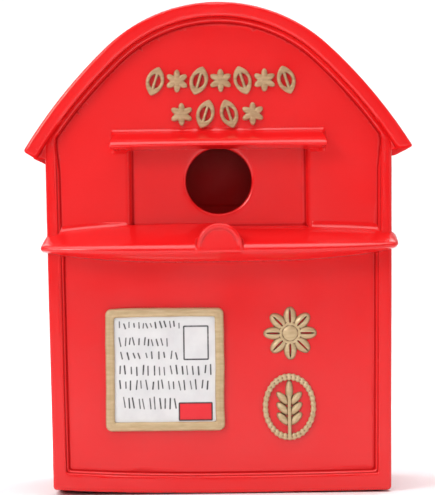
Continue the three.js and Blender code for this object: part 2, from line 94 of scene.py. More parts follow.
def make_camera():
    data = bpy.data.cameras.new("camera")
    data.sensor_width = SENSOR
    data.lens = SENSOR * CAMERA_DISTANCE / VIEW_HEIGHT
    data.clip_start, data.clip_end = 0.05, 50
    camera = bpy.data.objects.new("camera", data)
    bpy.context.scene.collection.objects.link(camera)
    camera.location = (CAMERA_SIDE, FRONT_PLANE - CAMERA_DISTANCE, CAMERA_HEIGHT)
    level = Matrix.Rotation(math.radians(90), 3, "X")
    camera.rotation_euler = (level @ Matrix.Rotation(-CAMERA_ROLL, 3, "Z")).to_euler()
    bpy.context.scene.camera = camera
    bpy.context.scene.view_settings.view_transform = "Standard"


def area_light(name, side, height, distance, size, power, target):
    """A softbox seen from the target at an angle to the side of the front and a height, in degrees."""
    data = bpy.data.lights.new(name, "AREA")
    data.shape = "RECTANGLE"
    data.size, data.size_y = size
    data.energy = power
    light = bpy.data.objects.new(name, data)
    bpy.context.scene.collection.objects.link(light)
    turn, lift = math.radians(side), math.radians(height)
    away = Vector((math.sin(turn) * math.cos(lift), -math.cos(turn) * math.cos(lift), math.sin(lift)))
    light.location = Vector(target) + away * distance
    light.rotation_euler = away.to_track_quat("Z", "Y").to_euler()


def make_lights():
    """The front light only lifts the shadows, so it makes no highlight of its own."""
    for settings in LIGHTS:
        area_light(*settings)
    bpy.data.objects["front"].visible_glossy = False


def make_world():
    """A dim room in front of the box and a pale one to its sides and behind it."""
    world = bpy.data.worlds.new("world")
    world.use_nodes = True
    tree = world.node_tree
    sky = tree.nodes["Background"]
    sky.inputs["Color"].default_value = (1.0, 1.0, 1.0, 1)
    way = tree.nodes.new("ShaderNodeTexCoord").outputs["Generated"]
    parts = tree.nodes.new("ShaderNodeSeparateXYZ")
    tree.links.new(way, parts.inputs[0])
    fade = tree.nodes.new("ShaderNodeMapRange")
    tree.links.new(parts.outputs["Y"], fade.inputs["Value"])
    sockets = ("From Min", "From Max", "To Min", "To Max")
    for socket, value in zip(sockets, WORLD_FADE + WORLD_GLOW):
        fade.inputs[socket].default_value = value
    tree.links.new(fade.outputs[0], sky.inputs["Strength"])
    bpy.context.scene.world = world


def make_floor():
    """A pale sweep: a floor that turns up into a backdrop behind the box."""
    half_width, front, turn, radius, top = 4.0, -2.6, 1.6, 0.9, 3.0
    steps = 16
    profile = [(front, 0.0), (turn, 0.0)]
    for i in range(1, steps + 1):
        angle = math.radians(90) * i / steps
        profile.append((turn + radius * math.sin(angle), radius - radius * math.cos(angle)))
    profile.append((turn + radius, top))
    points = [(side * half_width, y, z) for y, z in profile for side in (-1, 1)]
    faces = [(2 * i, 2 * i + 1, 2 * i + 3, 2 * i + 2) for i in range(len(profile) - 1)]
    mesh = bpy.data.meshes.new("sweep")
    mesh.from_pydata(points, [], faces)
    mesh.shade_smooth()
    sweep = bpy.data.objects.new("sweep", mesh)
    bpy.context.scene.collection.objects.link(sweep)
    paper = bpy.data.materials.new("sweep_paper")
    paper.use_nodes = True
    shader = paper.node_tree.nodes["Principled BSDF"]
    shader.inputs["Base Color"].default_value = (0.9, 0.905, 0.92, 1)
    shader.inputs["Roughness"].default_value = 0.9
    mesh.materials.append(paper)


# ---------- Fields ----------


def smooth_max(a, b, blend):
    """The larger of two fields, with the edge where they meet rounded over about blend."""
    near = np.maximum(blend - np.abs(a - b), 0)
    return np.maximum(a, b) + near * near / (4 * blend)


def smooth_min(a, b, blend):
    return -smooth_max(-a, -b, blend)


def cut(solid, tool, blend):
    return smooth_max(solid, -tool, blend)


def hulled(side, end):
    """Two fields at right angles to each other, joined at a true distance outside their edge."""
    outside = np.hypot(np.maximum(side, 0), np.maximum(end, 0))
    return outside + np.minimum(np.maximum(side, end), 0)


def prism(flat, along, low, high, edge):
    """A flat outline drawn out from low to high, with its end edges rounded."""
    end = np.abs(along - (low + high) / 2) - (high - low) / 2
    return hulled(flat + edge, end + edge) - edge


def rectangle(u, v, centre, half, corner=0.0):
    du = np.abs(u - centre[0]) - half[0] + corner
    dv = np.abs(v - centre[1]) - half[1] + corner
    return hulled(du, dv) - corner


def disc(u, v, centre, radius):
    return np.hypot(u - centre[0], v - centre[1]) - radius


def half_plane(u, v, start, end):
    """Below zero to the left of the line from start to end, in the (u, v) plane."""
    du, dv = end[0] - start[0], end[1] - start[1]
    return ((u - start[0]) * dv - (v - start[1]) * du) / math.hypot(du, dv)


def turned_about(u, v, angle):
    """The (u, v) coordinates in a frame turned by angle."""
    c, s = math.cos(angle), math.sin(angle)
    return u * c + v * s, v * c - u * s


def ellipsoid(u, v, w, radii):
    """Near enough the distance to an ellipsoid about the origin."""
    return (np.sqrt((u / radii[0]) ** 2 + (v / radii[1]) ** 2 + (w / radii[2]) ** 2) - 1) * min(radii)


def wobble(x, y, z, wave, seed):
    """Slow unevenness, about -1 to 1, that takes around wave millimetres to rise and fall."""
    random = np.random.default_rng(seed)
    total = 0
    count = 5
    for _ in range(count):
        direction = random.normal(size=3)
        direction *= 2 * math.pi / (wave * random.uniform(0.7, 1.5) * np.linalg.norm(direction))
        flat = direction[0] * x + direction[2] * z + random.uniform(0, 2 * math.pi)
        across = direction[1] * y
        total = total + np.sin(flat) * np.cos(across) + np.cos(flat) * np.sin(across)
    return total / count


# ---------- From fields to meshes ----------


def even(low, high, gap):
    margin = 3 * gap
    return np.arange(low - margin, high + margin + gap, gap * QUICK)


def layers(stops, end):
    """Sample places along one axis: each stop is a start and the spacing from there on."""
    ends = [start for start, _ in stops[1:]] + [end]
    parts = []
    for (start, gap), stop in zip(stops, ends):
        count = max(1, round((stop - start) / (gap * QUICK)))
        parts.append(np.linspace(start, stop, count, endpoint=False))
    return np.concatenate([*parts, [end]])


def read_field(field, axes, points):
    """The field's value at points, between its samples."""
    base, part = [], []
    for k, axis in enumerate(axes):
        place = np.clip(np.interp(points[:, k], axis, np.arange(len(axis))), 0, len(axis) - 1.001)
        base.append(place.astype(int))
        part.append(place - base[-1])
    total = 0
    for i in (0, 1):
        for j in (0, 1):
            for k in (0, 1):
                weights = [part[n] if bit else 1 - part[n] for n, bit in enumerate((i, j, k))]
                value = field[base[0] + i, base[1] + j, base[2] + k]
                total = total + weights[0] * weights[1] * weights[2] * value
    return total


def around(field, axes, points, reach):
    """The field's values one reach ahead of and behind each point, along each axis."""
    values = []
    for k in range(3):
        step = np.zeros(3)
        step[k] = reach
        ahead = read_field(field, axes, points + step)
        values.append((ahead, read_field(field, axes, points - step)))
    return values


def field_normals(field, axes, points, reach):
    slopes = np.stack([ahead - behind for ahead, behind in around(field, axes, points, reach)], 1)
    return slopes / np.maximum(np.linalg.norm(slopes, axis=1, keepdims=True), 1e-9)


def field_bend(field, axes, points, reach):
    """How the surface bends at points: above zero on outward edges, below it in creases."""
    total = sum(ahead + behind for ahead, behind in around(field, axes, points, reach))
    return (total - 6 * read_field(field, axes, points)) / reach


def mesh_of_field(name, field, axes, reach):
    """A mesh on the field's zero surface, with its normals and the values its material reads.

    "edge" is how the surface bends, "inside" is 1 in the nest cavity, "eaves" is 1 under the eaves,
    and "foot" runs from 0 at the front of the raised work to 1 at the panel.
    """
    grid = openvdb.FloatGrid(1.0)
    grid.copyFromArray(np.ascontiguousarray(field, np.float32), tolerance=0)
    spots, triangles, quads = grid.convertToPolygons(isovalue=0.0, adaptivity=0.02)
    steps = [np.arange(len(axis)) for axis in axes]
    spots = np.stack([np.interp(spots[:, k], steps[k], axes[k]) for k in range(3)], 1)
    mesh = bpy.data.meshes.new(name)
    mesh.from_pydata((spots * MM).tolist(), [], triangles.tolist() + quads.tolist())
    mesh.validate()
    mesh.shade_smooth()
    normals = field_normals(field, axes, spots, reach / 2)
    mesh.normals_split_custom_set_from_vertices(normals.tolist())
    add_values(mesh, "edge", field_bend(field, axes, spots, reach))
    add_values(mesh, "inside", cavity(*spots.T) < 0)
    add_values(mesh, "eaves", under_eaves(spots, normals))
    add_values(mesh, "foot", (spots[:, 1] - RELIEF_FRONT) / (PANEL_FACE - RELIEF_FRONT))
    return mesh


def add_values(mesh, name, values):
    """One value per vertex for the material to read."""
    data = mesh.attributes.new(name, "FLOAT", "POINT").data
    data.foreach_set("value", np.asarray(values, np.float32))


def add_piece(mesh, material, body, slot, *nodes):
    piece = bpy.data.objects.new(mesh.name, mesh)
    bpy.context.scene.collection.objects.link(piece)
    mesh.materials.append(material)
    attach(piece, body)
    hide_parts(*nodes)
    return piece


def cast(node, shape, axes, finish, body="box", reach=1.0):
    """A piece that takes a CAD node's place, from shape(x, y, z), in the material of a (material, slot)
    finish; the slot is not used.
    """
    field = shape(*np.meshgrid(*axes, indexing="ij", sparse=True))
    mesh = mesh_of_field(f"{node}_piece", field, axes, reach)
    return add_piece(mesh, finish[0], body, finish[1], node)


def cast_even(node, shape, gap, finish, body="box", reach=1.0):
    """A cast piece sampled every gap millimetres over the box of its CAD node."""
    axes = [even(low, high, gap) for low, high in zip(*box_mm(node))]
    cast(node, shape, axes, finish, body, reach)


# ---------- Materials ----------


class Surface:
    """A material and short ways to add nodes to it."""

    def __init__(self, name):
        self.material = bpy.data.materials.new(name)
        self.material.use_nodes = True
        self.tree = self.material.node_tree
        self.shader = self.tree.nodes["Principled BSDF"]
        self.place = self.add("ShaderNodeTexCoord", {}, "Object")

    def put(self, socket, value):
        if isinstance(value, bpy.types.NodeSocket):
            self.tree.links.new(value, socket)
        else:
            socket.default_value = value

    def add(self, kind, inputs, output, **settings):
        node = self.tree.nodes.new(kind)
        for key, value in settings.items():
            setattr(node, key, value)
        for key, value in inputs.items():
            self.put(node.inputs[key], value)
        return node.outputs[output]

    def set(self, **inputs):
        for key, value in inputs.items():
            self.put(self.shader.inputs[key.replace("_", " ")], value)

    def attribute(self, name):
        return self.add("ShaderNodeAttribute", {}, "Fac", attribute_name=name)

    def noise(self, wave, detail=2.0, stretch=(1, 1, 1), shift=0.0):
        """Noise whose lumps are about wave metres across, or more along the stretched axes."""
        scale = tuple(1 / (wave * s) for s in stretch)
        place = {"Vector": self.place, "Scale": scale, "Location": (shift, shift, shift)}
        mapped = self.add("ShaderNodeMapping", place, "Vector")
        return self.add("ShaderNodeTexNoise", {"Vector": mapped, "Scale": 1.0, "Detail": detail}, 0)

    def spread(self, value, low, high, to_low=0.0, to_high=1.0):
        inputs = {0: value, 1: low, 2: high, 3: to_low, 4: to_high}
        return self.add("ShaderNodeMapRange", inputs, 0)

    def patches(self, wave, detail, low=0.0, high=1.0, shift=0.0):
        """Soft patches of noise, from low to high."""
        return self.spread(self.noise(wave, detail, shift=shift), 0.3, 0.7, low, high)

    def times(self, a, b):
        return self.add("ShaderNodeMath", {0: a, 1: b}, 0, operation="MULTIPLY")

    def mix(self, factor, a, b):
        a, b = ((*colour, 1) if isinstance(colour, tuple) else colour for colour in (a, b))
        return self.add("ShaderNodeMix", {0: factor, 6: a, 7: b}, 2, data_type="RGBA")

    def bumps(self, *layers_of_height):
        """Bump from (height, distance in metres) pairs, each laid over the last."""
        normal = None
        for height, distance in layers_of_height:
            inputs = {"Height": height, "Distance": distance}
            if normal:
                inputs["Normal"] = normal
            normal = self.add("ShaderNodeBump", inputs, "Normal")
        self.set(Normal=normal)


INSIDE_LIGHT_RED = (0.92, 0.011, 0.013)  # painted light: a lighter red than the enamel for the inside of the cavity, so the dim inside reads brighter


def shell_paint():
    """Glossy red enamel: a deeper red in the creases as painted shade, paler on the sharp edges where the
    paint is thin, with a painted highlight there, a lighter red inside the cavity as painted light, dull
    under the eaves.
    """
    surface = Surface("shell_paint")
    edge = surface.attribute("edge")
    clouds = surface.patches(0.05, 3.0)
    red = surface.mix(clouds, (0.725, 0.0092, 0.0102), (0.75, 0.011, 0.012))
    # Painted shade: the creases are darkened towards a deep red.
    crease_shade = surface.spread(edge, -0.2, -1.1)
    red = surface.mix(crease_shade, red, (0.4, 0.004, 0.005))
    # Paler red on the sharp outward edges: thin paint there, and a painted highlight.
    patchy = surface.spread(surface.noise(0.006, 3.0), 0.4, 0.7)
    thin = surface.times(surface.spread(edge, 0.45, 1.3, 0.0, 0.5), patchy)
    red = surface.mix(thin, red, (0.82, 0.022, 0.02))
    # Painted light: the inside of the cavity takes a lighter red.
    red = surface.mix(surface.attribute("inside"), red, INSIDE_LIGHT_RED)
    gloss = surface.patches(0.02, 4.0, 0.15, 0.24, shift=5.0)
    dull = surface.add("ShaderNodeMath", {0: crease_shade, 1: surface.attribute("eaves")}, 0, operation="MAXIMUM")
    gloss = surface.mix(dull, gloss, (1.0, 1.0, 1.0))
    shine = surface.spread(dull, 0.0, 1.0, 0.5, 0.03)
    surface.set(Base_Color=red, Roughness=gloss, IOR=1.5, Specular_IOR_Level=shine)
    lumps = surface.noise(0.014, 2.0, shift=1.0)
    brushing = surface.noise(0.0025, 2.0, stretch=(1, 1, 7), shift=3.0)
    surface.bumps((lumps, 0.00007), (brushing, 0.000008))
    return surface.material


# Brown of pooled gold paint, used also as painted shade in creases and round the foot of the raised work.
POOLED_GOLD_SHADE = (0.17, 0.085, 0.035)


def gold_paint(name, dark, light):
    """Gold paint laid on with a brush, browner where it has pooled round the foot of the raised work and in
    its creases, which is also painted shade there, with a painted highlight on its outward edges.
    """
    surface = Surface(name)
    edge = surface.attribute("edge")
    strokes = surface.noise(0.0012, 3.0, stretch=(5, 5, 1))
    gold = surface.mix(surface.spread(strokes, 0.3, 0.7), dark, light)
    # Pooled paint and painted shade in the creases.
    gold = surface.mix(surface.spread(edge, 0.05, -0.45), gold, POOLED_GOLD_SHADE)
    # Pooled paint and painted shade towards the foot, where the raised work meets the panel.
    foot = surface.spread(surface.attribute("foot"), 0.35, 0.9, 0.0, 0.8)
    gold = surface.mix(foot, gold, POOLED_GOLD_SHADE)
    # Painted highlight: the outward edges are mixed towards a pale gold.
    gold = surface.mix(surface.spread(edge, 0.5, 1.4, 0.0, 0.5), gold, (0.70, 0.555, 0.34))
    gloss = surface.patches(0.004, 3.0, 0.34, 0.52, shift=4.0)
    surface.set(Base_Color=gold, Roughness=gloss, Metallic=0.3)
    surface.bumps((strokes, 0.00012), (surface.noise(0.0006, 2.0, shift=2.0), 0.00003))
    return surface.material


def card_paint():
    """White paint with illegible ink ticks, an empty outline and a red label."""
    surface = Surface("card_paint")
    cloud = surface.patches(0.008, 3.0)
    white = surface.mix(cloud, (0.66, 0.66, 0.665), (0.74, 0.74, 0.735))
    patchy = surface.spread(surface.noise(0.002, 2.0, shift=2.0), 0.25, 0.5, 0.85, 1.0)
    label = surface.mix(surface.attribute("label"), white, (0.76, 0.02, 0.03))
    ink = surface.mix(surface.times(surface.attribute("ink"), patchy), label, (0.008, 0.008, 0.01))
    gloss = surface.patches(0.005, 3.0, 0.4, 0.55, shift=5.0)
    surface.set(Base_Color=ink, Roughness=gloss)
    surface.bumps((surface.noise(0.0035, 2.0, shift=1.0), 0.00018), (surface.noise(0.0007), 0.00003))
    return surface.material


def back_paint():
    """Duller red over moulded board, for the back panel and its hatch, a deeper red in its creases as
    painted shade and paler on its outward edges as thin paint with a painted highlight.
    """
    surface = Surface("back_paint")
    edge = surface.attribute("edge")
    clouds = surface.patches(0.03, 3.0)
    red = surface.mix(clouds, (0.42, 0.010, 0.012), (0.52, 0.014, 0.016))
    # Painted shade: the creases are darkened.
    red = surface.mix(surface.spread(edge, -0.1, -0.8), red, (0.2, 0.004, 0.006))
    # Paler red on the outward edges: thin paint there, and a painted highlight.
    red = surface.mix(surface.spread(edge, 0.3, 1.2), red, (0.6, 0.03, 0.028))
    # Painted light: the inside of the cavity takes a lighter red.
    red = surface.mix(surface.attribute("inside"), red, INSIDE_LIGHT_RED)
    gloss = surface.patches(0.01, 4.0, 0.42, 0.6, shift=5.0)
    surface.set(Base_Color=red, Roughness=gloss)
    grain = surface.noise(0.0014, 3.0, shift=2.0)
    surface.bumps((surface.noise(0.012, 2.0, shift=1.0), 0.0003), (grain, 0.00007))
    return surface.material


def zinc_steel():
    """Bright zinc plate with a faint yellow cast, dulled in patches, with painted shade darkening the
    corners.
    """
    surface = Surface("zinc_steel")
    edge = surface.attribute("edge")
    patches = surface.patches(0.004, 4.0)
    steel = surface.mix(patches, (0.50, 0.50, 0.49), (0.66, 0.67, 0.69))
    cast_tint = surface.spread(surface.noise(0.011, 2.0, shift=3.0), 0.45, 0.75, 0.0, 0.5)
    steel = surface.mix(cast_tint, steel, (0.60, 0.55, 0.42))
    # Painted shade: the corners are darkened.
    steel = surface.mix(surface.spread(edge, -0.05, -0.5), steel, (0.16, 0.15, 0.14))
    gloss = surface.patches(0.002, 4.0, 0.25, 0.45, shift=5.0)
    surface.set(Base_Color=steel, Roughness=gloss, Metallic=1.0)
    scratches = surface.noise(0.0004, 2.0, stretch=(1, 1, 14), shift=2.0)
    surface.bumps((scratches, 0.00002), (surface.noise(0.0015, 2.0), 0.00003))
    return surface.material


def brass():
    """Turned brass, bright on its edges and brown where it has tarnished."""
    surface = Surface("brass")
    edge = surface.attribute("edge")
    tarnish = surface.spread(surface.noise(0.005, 4.0), 0.35, 0.7)
    metal = surface.mix(tarnish, (0.70, 0.48, 0.20), (0.46, 0.29, 0.11))
    metal = surface.mix(surface.spread(edge, -0.05, -0.5), metal, (0.14, 0.08, 0.03))
    metal = surface.mix(surface.spread(edge, 0.4, 1.2, 0.0, 0.6), metal, (0.82, 0.60, 0.28))
    gloss = surface.patches(0.003, 4.0, 0.22, 0.42, shift=5.0)
    surface.set(Base_Color=metal, Roughness=gloss, Metallic=1.0)
    surface.bumps((surface.noise(0.0005, 2.0, stretch=(8, 1, 8), shift=2.0), 0.00002))
    return surface.material


SHELL_PAINT = (shell_paint(), "shell_paint")
GOLD_PAINT = (gold_paint("gold_paint", (0.50, 0.36, 0.19), (0.61, 0.465, 0.27)), "gold_paint")
TITLE_GOLD = (gold_paint("title_gold", (0.36, 0.21, 0.10), (0.53, 0.36, 0.20)), "gold_paint")
CARD_PAINT = (card_paint(), "card_paint")
BACK_PAINT = (back_paint(), "back_paint")
ZINC_STEEL = (zinc_steel(), "zinc_steel")
BRASS = (brass(), "brass")

# ---------- The casing ----------

SHELL_LOW, SHELL_HIGH = box_mm("body_shell")
ROOF_LOW, ROOF_HIGH = box_mm("roof_shell")
HATCH_LOW, HATCH_HIGH = box_mm("rear_hatch")
HATCH_CENTRE, HATCH_HALF = middle("rear_hatch")[[0, 2]], half_size("rear_hatch")
CROWN_RADIUS, CROWN_ANGLE = 78.5, math.radians(43)
FLANK_RADIUS, EAVE_ANGLE = 243.0, math.radians(58.5)
FLANK_X = (FLANK_RADIUS - CROWN_RADIUS) * math.sin(CROWN_ANGLE)
CROWN_Z = ROOF_HIGH[2] - CROWN_RADIUS
FLANK_Z = CROWN_Z - (FLANK_RADIUS - CROWN_RADIUS) * math.cos(CROWN_ANGLE)
ROOF_THICKNESS = 7.0
BASE_HALF_WIDTH, EAVE_HALF_WIDTH, EAVE_HEIGHT = 82.5, 84.8, 168.0
WALL = 6.0
BORDER_WIDTH, BASE_BORDER, ARCH_STRIP = 5.4, 8.7, 2.6
LOWER_BORDER = 1.1  # how much wider the border is below the sill
STEP_WIDTH, STEP_FACE = 1.2, -43.4  # of the ledge inside the border
STEP_TOP, STEP_FADE = 170.0, 12.0  # the ledge dies out above the eaves
PANEL_FACE, RECESS_FACE, INNER_FACE = -42.0, -38.0, -35.0
RECESS_CENTRE, RECESS_HALF, RECESS_DRAFT = (0, 150.4), (44.0, 21.0), 0.4
HOLE_CENTRE, HOLE_RADIUS = (0, 153.0), 16.0
SILL_EDGE = 121.0  # height of the sill's front edge
DRAIN_PLACES, DRAIN_RADIUS = [(x, y) for x in (-50, 50) for y in (-20, 20)], 2.5
RIB_CENTRE, RIB_HALF, RIB_TOP = (74.25, 42.7), (5.75, 4.0), 150.0
BONDED = 0.5  # how far bonded pieces reach into each other
BASE_LIFT = (2.8, 0.8)  # of the base's front corners, left and right
LIFT_START, LIFT_RUN = 20.0, 20.0  # how far forward of the middle the lift starts, and its run
IN_FRONT, BEHIND = -80.0, 90.0  # planes clear of the box, for cuts that run right out of it
STRIP_MIDDLE, STRIP_HALF = 1.2, 1.15  # behind the panel's face, of the strip that fillets start from
FILLET = 3.0
UNEVEN, UNEVEN_WAVE = 0.09, 50.0


def arch(x, z):
    """Distance outside the roof line, a crown arc between two flatter flank arcs."""
    side = np.abs(x)
    crown = np.hypot(side, z - CROWN_Z) - CROWN_RADIUS
    flank = np.hypot(side + FLANK_X, z - FLANK_Z) - FLANK_RADIUS
    on_crown = side * math.cos(CROWN_ANGLE) < (z - CROWN_Z) * math.sin(CROWN_ANGLE)
    return np.where(on_crown, crown, flank)


def body_sides(x, z):
    return np.abs(x) - BASE_HALF_WIDTH - (EAVE_HALF_WIDTH - BASE_HALF_WIDTH) * z / EAVE_HEIGHT


def cavity(x, y, z):
    """Below zero in the nest cavity and a hair's breadth into its walls."""
    depth = np.maximum(INNER_FACE - y, y - HATCH_LOW[1])
    walls = np.maximum(np.maximum(body_sides(x, z), -z) + WALL, arch(x, z) + ROOF_THICKNESS)
    return np.maximum(walls, depth) - 0.4


def base_lift(x):
    return np.where(x < 0, *BASE_LIFT) * (x / BASE_HALF_WIDTH) ** 2


def uneven(x, y, z):
    return UNEVEN * wobble(x, y, z, UNEVEN_WAVE, seed=3)


def against_panel(solid, x, y, z, half_width, low, high):
    """The piece with a fillet to the front panel, from a strip hidden just under the panel's face."""
    centre, half = (0, (low + high) / 2), (half_width, (high - low) / 2)
    layer = np.abs(y - PANEL_FACE - STRIP_MIDDLE) - STRIP_HALF
    strip = np.maximum(rectangle(x, z, centre, half), layer)
    strip = np.maximum(strip, 1.5 - rectangle(x, z, RECESS_CENTRE, RECESS_HALF))
    return smooth_min(solid, strip, FILLET)


def shell_block(x, y, z):
    """The walls, floor and front, open at the back, with the base's front corners lifted."""
    outline = smooth_max(body_sides(x, z), -z, 2.5)
    outline = np.maximum(outline, arch(x, z) + ROOF_THICKNESS - BONDED)
    shell = prism(outline, y, SHELL_LOW[1], SHELL_HIGH[1], 1.6)
    lift = base_lift(x) * np.clip((-y - LIFT_START) / LIFT_RUN, 0, 1)
    shell = smooth_max(shell, lift - z, 2.0)
    hollow = smooth_max(body_sides(x, z) + WALL, WALL - z, 3.0)
    return cut(shell, prism(hollow, y, INNER_FACE, BEHIND, 2.0), 1.0)


def panel_outline(x, z):
    """Below zero on the front panel, inside the border."""
    border = BORDER_WIDTH + np.where(z < SILL_EDGE, LOWER_BORDER, 0)
    panel = smooth_max(body_sides(x, z) + border, arch(x, z) + ROOF_THICKNESS + ARCH_STRIP, 1.0)
    return smooth_max(panel, BASE_BORDER + base_lift(x) - z, 1.5)


def cut_front(shell, x, y, z):
    """The shell with its ledge, panel, slot recess and entrance hole cut into the front."""
    panel = panel_outline(x, z)
    shell = cut(shell, prism(panel, y, IN_FRONT, STEP_FACE, 0.5), 0.9)
    step = STEP_WIDTH * np.clip((STEP_TOP - z) / STEP_FADE, 0, 1)
    shell = cut(shell, prism(panel + step, y, IN_FRONT, PANEL_FACE, 0.6), 0.9)
    recess = rectangle(x, z, RECESS_CENTRE, RECESS_HALF, 0.8) + RECESS_DRAFT * (y - PANEL_FACE)
    shell = cut(shell, prism(recess, y, IN_FRONT, RECESS_FACE, 0.8), 1.2)
    return cut(shell, disc(x, z, HOLE_CENTRE, HOLE_RADIUS), 1.8)


def shell_shape(x, y, z):
    shell = cut_front(shell_block(x, y, z), x, y, z)
    for place in DRAIN_PLACES:
        shell = cut(shell, np.maximum(disc(x, y, place, DRAIN_RADIUS), z - 2 * WALL), 0.6)
    rib = np.maximum(rectangle(np.abs(x), y, RIB_CENTRE, RIB_HALF, 0.5), z - RIB_TOP)
    return smooth_min(shell, rib, 1.5) + uneven(x, y, z)


def make_shell():
    gap = 0.55
    depth = layers([(-47, 0.4), (-33, 1.3), (62, 0.5)], 67)
    axes = (even(SHELL_LOW[0], SHELL_HIGH[0], gap), depth, even(0, SHELL_HIGH[2], gap))
    cast("body_shell", shell_shape, axes, SHELL_PAINT)


EAVE_TIP = (
    FLANK_RADIUS * math.sin(EAVE_ANGLE) - FLANK_X,
    FLANK_Z + FLANK_RADIUS * math.cos(EAVE_ANGLE),
)
EAVE_CUTS = ((-6.0, -3.7), (-9.0, -1.0))  # from the tip along the left and the right eave's end
UNDER_EAVES = (78, 140)  # how far out and how high the undersides of the eaves start
FACING_DOWN = -0.2  # the upright part of a normal that faces down
COLLAR_FOOT, COLLAR_MIDDLE, COLLAR_HALF = 155, 10, 54  # its height, and its place along the depth


def eave_end(x, z):
    """The left eave is cut square across and the right one nearly level."""
    starts = [(EAVE_TIP[0] + dx, EAVE_TIP[1] + dz) for dx, dz in EAVE_CUTS]
    left, right = (half_plane(np.abs(x), z, start, EAVE_TIP) for start in starts)
    return np.where(x < 0, left, right)


def under_eaves(spots, normals):
    out, up = UNDER_EAVES
    return (normals[:, 2] < FACING_DOWN) & (np.abs(spots[:, 0]) > out) & (spots[:, 2] > up)


def eave_corner(x, y, z):
    """The corner between each eave and the side wall, filled in."""
    foot = np.where(x < 0, EAVE_CUTS[0][1], EAVE_CUTS[1][1]) + EAVE_TIP[1]
    wedge = np.maximum(arch(x, z) + ROOF_THICKNESS - 1, -body_sides(x, z) - 0.5)
    return prism(np.maximum(wedge, foot - z), y, SHELL_LOW[1] + 0.3, SHELL_HIGH[1], 0.6)


def hidden_collar(x, y, z):
    """A collar within the side walls that the roof is blended into."""
    side = body_sides(x, z)
    upright = np.maximum(COLLAR_FOOT - z, arch(x, z) + 3)
    collar = np.maximum(np.maximum(side + 0.3, -side - 0.6 * WALL), upright)
    return np.maximum(collar, np.abs(y - COLLAR_MIDDLE) - COLLAR_HALF)


def roof_shape(x, y, z):
    line = arch(x, z)
    band = smooth_max(np.maximum(line, -line - ROOF_THICKNESS), eave_end(x, z), 1.6)
    roof = prism(band, y, ROOF_LOW[1], ROOF_HIGH[1], 1.3)
    roof = smooth_min(roof, eave_corner(x, y, z), 1.0)
    return smooth_min(roof, hidden_collar(x, y, z), 1.6) + uneven(x, y, z)


def make_roof():
    gap = 0.55
    depth = layers([(-52, 0.4), (-44, 1.3), (62, 0.5)], 67)
    axes = (even(ROOF_LOW[0], ROOF_HIGH[0], gap), depth, even(ROOF_LOW[2], ROOF_HIGH[2], gap))
    cast("roof_shell", roof_shape, axes, SHELL_PAINT)


SILL_LOW, SILL_HIGH = box_mm("sill_ledge")
SILL_RISE, SILL_LIP, SILL_DROP = 11.2, 2.6, 8.0
SILL_SLANT = (5.5, 7.2)  # how far in and how far down the lip's slanted underside ends
SILL_TAPER, SILL_UNDER_TAPER = 0.42, 0.75
SILL_HIP = (3.2, 6.7)
SILL_ROUND_END = (4.5, 9.5)
TAB_RADIUS, TAB_RIM, TAB_THICKNESS, TAB_FOOT = 11.0, 1.1, 8.0, 3.0


def sill_ends(x, z, half):
    """The left end is hipped to a point and the right end is rounded over."""
    side = np.abs(x)
    hip = half_plane(side, z, (half, SILL_EDGE), (half - SILL_HIP[0], SILL_EDGE + SILL_HIP[1]))
    left = smooth_max(side - half, hip, 1.5)
    out = np.maximum(side - half + SILL_ROUND_END[0], 0)
    up = np.maximum(z - SILL_EDGE + 1, 0)
    right = ellipsoid(out, up, 0, (*SILL_ROUND_END, 100))
    return np.where(x < 0, left, right)


def sill_tab(x, y, z):
    """A half-round upright face with a raised bead round its edge, dying out towards its foot."""
    front = SILL_LOW[1]
    face = disc(x, z, (0, SILL_EDGE), TAB_RADIUS)
    tab = prism(face, y, front + 0.2, front + TAB_THICKNESS, 0.8)
    bead = TAB_RIM * np.clip((z - SILL_EDGE + 2) / 6, 0.05, 1)
    rim = np.hypot(face + TAB_RIM, y - front - 0.4) - bead
    return np.maximum(smooth_min(tab, rim, 0.9), SILL_EDGE - TAB_FOOT - z)


def sill_shape(x, y, z):
    half = SILL_HIGH[0]
    outwards = np.minimum(np.abs(x) / half, 1) ** 3
    size, thin = 1 - SILL_TAPER * outwards, 1 - SILL_UNDER_TAPER * outwards
    reach = PANEL_FACE - SILL_LOW[1]
    depth, height = (PANEL_FACE - y) / size, z - SILL_EDGE
    top = half_plane(depth, height / size, (reach, 0), (0, SILL_RISE)) * size
    turn = (reach - SILL_SLANT[0], -SILL_SLANT[1])
    under = half_plane(depth, height / thin, (0, -SILL_DROP), turn) * thin
    slant = half_plane(depth, height / thin, turn, (reach, -SILL_LIP)) * thin
    under = smooth_max(under, slant, 2.0)
    ledge = smooth_max(smooth_max(top, (depth - reach) * size, 3.6), under, 1.4)
    ledge = smooth_max(ledge, sill_ends(x, z, half), np.where(x < 0, 1.5, 3.0))
    ledge = np.maximum(ledge, y - PANEL_FACE - BONDED)
    ledge = smooth_min(ledge, sill_tab(x, y, z), 0.9)
    ledge = against_panel(ledge, x, y, z, 77.5, SILL_EDGE - 3, SILL_EDGE + SILL_RISE + 1)
    return ledge + uneven(x, y, z)


def make_sill():
    gap = 0.45
    axes = (even(SILL_LOW[0], SILL_HIGH[0], gap), even(SILL_LOW[1], -39, gap), even(107, 137, gap * 0.8))
    cast("sill_ledge", sill_shape, axes, SHELL_PAINT)


HOOD_LOW, HOOD_HIGH = box_mm("hood_ledge")
HOOD_BACK_HALF, HOOD_FRONT_HALF = 51.2, 53.7
HOOD_TOP, HOOD_BOTTOM = (177.3, 171.8), (167.8, 169.3)  # at the panel and at the front edge
HOOD_CAMBER = 0.7  # how far its underside rises to the middle


